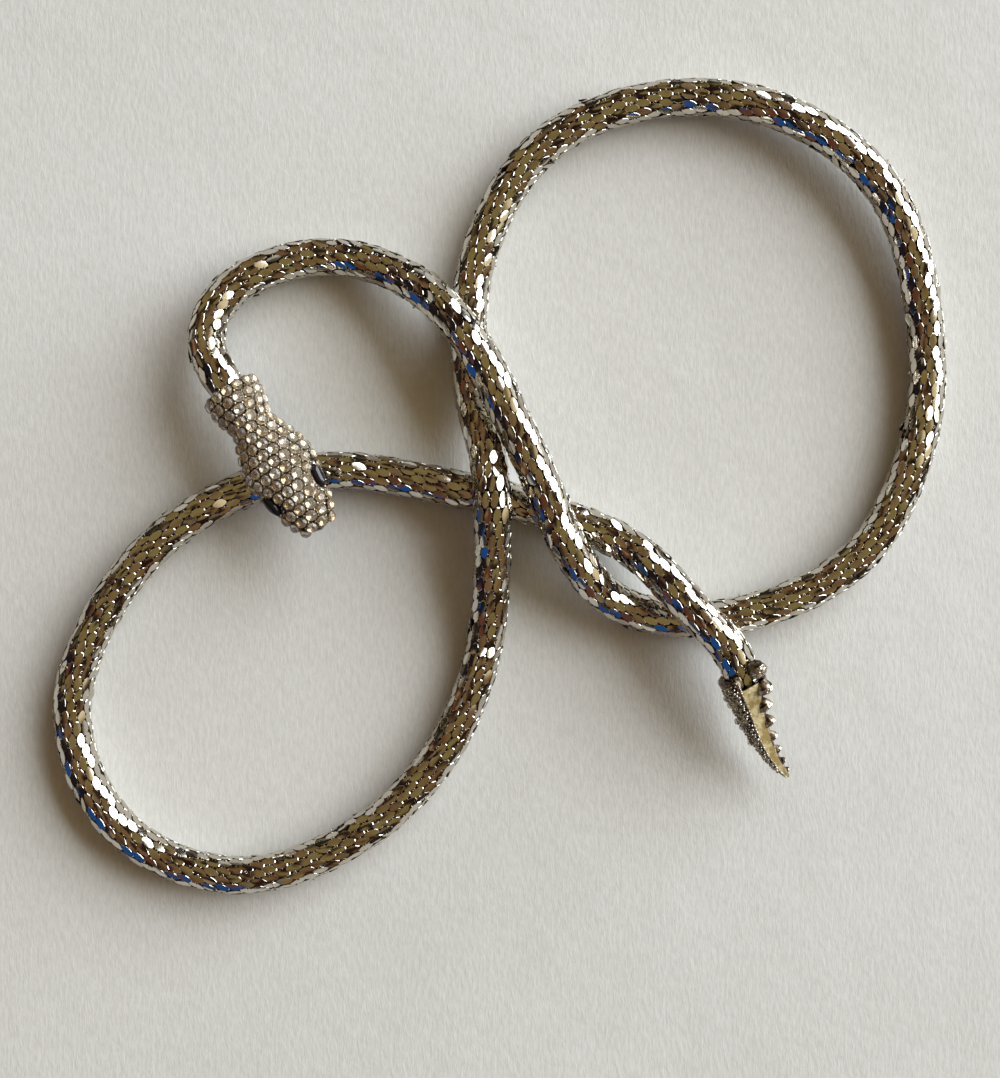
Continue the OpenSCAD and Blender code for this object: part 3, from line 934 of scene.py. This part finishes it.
# The bright wire along the flat back: radius, sides, steps, angle, lift, and its ends in the table
EDGE_R, EDGE_SIDES, EDGE_STEPS, EDGE_ANGLE, EDGE_LIFT, EDGE_ENDS = 0.2, 8, 120, 119.0, 0.02, (0.1, 1.2)
# The grains on the inner flank: radius, pitch, row pitch, first and last row, the middle of the rows
# and the line they are spaced along, how far round they go, how much they stray, and their sizes
GRAIN_R, GRAIN_PITCH, GRAIN_ROW, GRAIN_ENDS, GRAIN_LIFT = 0.3, 0.85, 0.8, (1.0, 27.8), 0.02
GRAIN_TOP, GRAIN_LINE, GRAIN_REACH, GRAIN_STRAY, GRAIN_SIZES = 165, 160, 38, (0.09, 5.0), (0.75, 1.55)


def from_to(ends, part):
    return ends[0] + (ends[1] - ends[0]) * part


def cup_places():
    part = np.arange(CUPS) / (CUPS - 1)
    along = from_to((CUP_FIRST, CUP_LAST), 1 - (1 - part) ** CUP_CROWD)
    seats = seat(tail_point, row_at(TAIL, along), from_to(CUP_ANGLES, part), 0)
    places = shifted(seats, z=from_to(CUP_RISES, part))
    return shifted(leaned(places, CUP_LEAN), size=1 - CUP_SHRINK * part)


def cup_shape():
    """A hollow cup: its lip and upper outside in the bright metal, its lower outside and its inside in the
    dark casting metal, which there is also painted shade under and inside the cup.
    """
    outer = [(CUP_BACK_R, -CUP_DEPTH), (0.8 * CUP_R, -2.0), (0.96 * CUP_R, -0.9), (CUP_R, 0.1)]
    lip = [(CUP_R, 0.1), (CUP_R + 0.06, 0.25), (CUP_R - 0.05, CUP_LIP + 0.1), (CUP_R - 0.28, CUP_LIP)]
    inner = [(CUP_R - 0.28, CUP_LIP), (CUP_R - 0.32, -0.1)]
    sides = 24
    profile = outer + lip[1:] + inner[1:]
    rings = [circle(sides, r, h) for r, h in profile]
    walls = bands(sides, len(profile))
    ring_of = np.repeat(np.arange(len(profile) - 1), sides)
    # The dark casting metal on the cup's lower outside and inside is painted shade as well as the casting's
    # own colour
    bright = (ring_of >= 2) & (ring_of < len(profile) - 2)
    return Shape(np.concatenate(rings), (walls[~bright], 0, True), (walls[bright], 1, True))


def cream_on_the_flat(a):
    return np.where((a > FLAT_FROM) & (a < 180 - FLAT_FROM), 2, 0)


def make_tail(tube, finish):
    stand = Stand(TAIL_RIM, TAIL_TURN, TAIL_PITCH, TAIL_ROLL, tube.shift)
    setting = Solid()
    shape = casting_shape(tail_point, TAIL, TAIL_SOCKET, cream_on_the_flat, NOTCH)
    shape.points = stand.points(shape.points)
    setting.add(shape)
    cups = cup_places()
    setting.stamp(cup_shape(), stand.places(cups), random.random(CUPS))
    edge = plate_edge()
    edge.points = stand.points(edge.points)
    setting.add(edge)
    grains = flank_grains()
    setting.stamp(bead_shape(GRAIN_R, slot=1), stand.places(grains), random.random(len(grains[0])))
    knob = seat(tail_point, row_at(TAIL, KNOB_ALONG), KNOB_ANGLE, KNOB_LIFT)
    setting.stamp(bead_shape(KNOB_R, slot=1), stand.places(knob), MIDDLE_TONE)
    piece = setting.piece("tail_setting", [finish["setting"], finish["wire"], finish["cream"]])
    stones = Solid()
    places = stand.places(shifted(cups, z=CUP_STONE_LIFT))
    stones.stamp(stone_shape(CUP_STONE, STONE_H), places, random.random(CUPS))
    first, last = (row_at(TAIL, along) for along in FRONT_ROWS)
    found = seats_in_rows(tail_point, -90, first, last, -90, FRONT_REACH, FRONT_PITCH, FRONT_PITCH)
    front = seat(tail_point, found[:, 0], found[:, 1], SEAT_GAP)
    stones.stamp(stone_shape(FRONT_D, FRONT_H), stand.places(front), random.random(len(found)))
    crystals = stones.piece("tail_crystals", [finish["crystal"], finish["foil"]])
    return piece, crystals


def plate_edge():
    """A bright wire along the inner edge of the flat back."""
    q = np.linspace(EDGE_ENDS[0], len(TAIL) - EDGE_ENDS[1], EDGE_STEPS)
    centre = seat(tail_point, q, EDGE_ANGLE, EDGE_LIFT)[0]
    ahead = unit(np.gradient(centre, axis=0))
    side = unit(np.cross([0.0, 0, 1], ahead))
    up = np.cross(ahead, side)
    sides = EDGE_SIDES
    a = 2 * math.pi * np.arange(sides) / sides
    ring = np.cos(a)[None, :, None] * side[:, None] + np.sin(a)[None, :, None] * up[:, None]
    points = (centre[:, None] + EDGE_R * ring).reshape(-1, 3)
    total = len(points)
    walls = bands(sides, len(q))[:, ::-1]
    caps = np.concatenate([fan(sides, 0, total), fan(sides, total - sides, total + 1)[:, ::-1]])
    return Shape(np.concatenate([points, centre[[0, -1]]]), (walls, 1, True), (caps, 1, True))


def flank_grains():
    """Small grains of metal that cover the inner flank, beside the flat back."""
    first, last = (row_at(TAIL, along) for along in GRAIN_ENDS)
    rows = seats_in_rows(tail_point, GRAIN_LINE, first, last, GRAIN_TOP, GRAIN_REACH, GRAIN_PITCH, GRAIN_ROW)
    spots = rows + random.uniform(-0.5, 0.5, (len(rows), 2)) * GRAIN_STRAY
    size = random.uniform(*GRAIN_SIZES, len(rows))
    return shifted(seat(tail_point, spots[:, 0], spots[:, 1], GRAIN_LIFT), size=size)


# The table, the light and what the metal mirrors

TABLE_HALF, TABLE_DROP = 4000.0, 0.05
KEY_TURN, KEY_LIFT = 31, 26
# In metres and watts
KEY_AWAY, KEY_SIZE, KEY_POWER, KEY_COLOUR = 7, (9.4, 5.9), 1045, (0.885, 0.965, 1.05)
ROOM_STRENGTH = 1.12


def make_table(finish):
    corners = [(-1, -1, 0), (1, -1, 0), (1, 1, 0), (-1, 1, 0)]
    points = TABLE_HALF * np.array(corners) - [0, 0, TABLE_DROP]
    table = Solid().add(Shape(points, (np.arange(4)[None], 0, False)))
    table.piece("table_top", [finish["table"]])


def direction(turn, lift):
    return tuple(axis_of(turn, lift))


def make_light():
    data = bpy.data.lights.new("window", "AREA")
    data.shape = "RECTANGLE"
    data.size, data.size_y = KEY_SIZE
    data.energy = KEY_POWER
    data.color = KEY_COLOUR
    lamp = bpy.data.objects.new("window", data)
    lamp.location = [KEY_AWAY * v for v in direction(KEY_TURN, KEY_LIFT)]
    lamp.rotation_euler = (math.radians(90 - KEY_LIFT), 0, math.radians(90 + KEY_TURN))
    bpy.context.scene.collection.objects.link(lamp)


def room_colour(way):
    """What the metal mirrors: olive and brown overhead, maroon and black on the far side, all dim
    near the table's level, a blue patch low on one side and a cream glow on the other."""
    olive, brown, soot = (0.245, 0.188, 0.07), (0.195, 0.112, 0.052), (0.02, 0.008, 0.007)
    rust, black, tan = (0.13, 0.05, 0.025), (0.014, 0.011, 0.014), (0.3, 0.22, 0.12)
    dim, dark = (0.12, 0.1, 0.06), (0.02, 0.016, 0.013)
    blue, cream = (0.014, 0.075, 0.28), (0.88, 0.74, 0.46)
    lift = way.along((0, 0, 1))
    patches, spots = way.noise(2.2, 2), way.noise(6.5, 1)
    overhead = patches.ramp(0.45, 0.62).between(olive, brown)
    overhead = spots.ramp(0.555, 0.585).between(overhead, soot)
    far_side = patches.ramp(0.46, 0.5).between(rust, black)
    far_side = spots.ramp(0.6, 0.63).between(far_side, tan)
    colour = way.along(direction(211, 0)).ramp(0.45, 0.6).between(overhead, far_side)
    low = spots.ramp(0.38, 0.46).between(dim, dark)
    colour = lift.ramp(0.12, 0.22).between(low, colour)
    sky = way.along(direction(240, 0)).ramp(0.66, 0.74) * lift.ramp(0.03, 0.06) * lift.ramp(0.48, 0.52, 1, 0)
    colour = (sky * spots.ramp(0.45, 0.49)).between(colour, blue)
    glow = way.along(direction(22, 24)).ramp(0.8, 0.86) * lift.ramp(-0.02, 0.02)
    return glow.between(colour, cream)


def make_room():
    """The metal mirrors the room. Behind the table the camera sees a plain pale wall instead."""
    world = bpy.data.worlds.new("room")
    bpy.context.scene.world = world
    world.use_nodes = True
    world.node_tree.nodes.clear()
    way = Wire(world.node_tree).node("ShaderNodeTexCoord")
    wall = (0.5, 0.49, 0.46)
    seen = way.node("ShaderNodeLightPath").between(room_colour(way), wall)
    background = way.node("ShaderNodeBackground", {}, {"Color": seen, "Strength": ROOM_STRENGTH})
    way.node("ShaderNodeOutputWorld", {}, {"Surface": background})


make_camera()
bpy.context.scene.view_settings.view_transform = "Standard"
finish = make_materials()
tube = Tube()
tube_pieces = [*make_scales(tube, finish), *make_links(tube, finish), make_shade_liner(tube, finish)]
head, head_crystals, eyes = make_head(tube, finish)
tail, tail_crystals = make_tail(tube, finish)
made = [
    (tube_pieces, "mesh_body", "silver_scales"),
    ([head], "head_casting", "dark_setting"),
    ([head_crystals], "head_stones", "clear_stones"),
    ([eyes[0]], "eye_left", "black_eye"),
    ([eyes[1]], "eye_right", "black_eye"),
    ([tail], "tail_casting", "aged_plating"),
    ([tail_crystals], "tail_stones", "clear_stones"),
]
for pieces, node, slot in made:
    for piece in pieces:
        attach(piece, BODY)
        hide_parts(node)
make_table(finish)
make_light()
make_room()
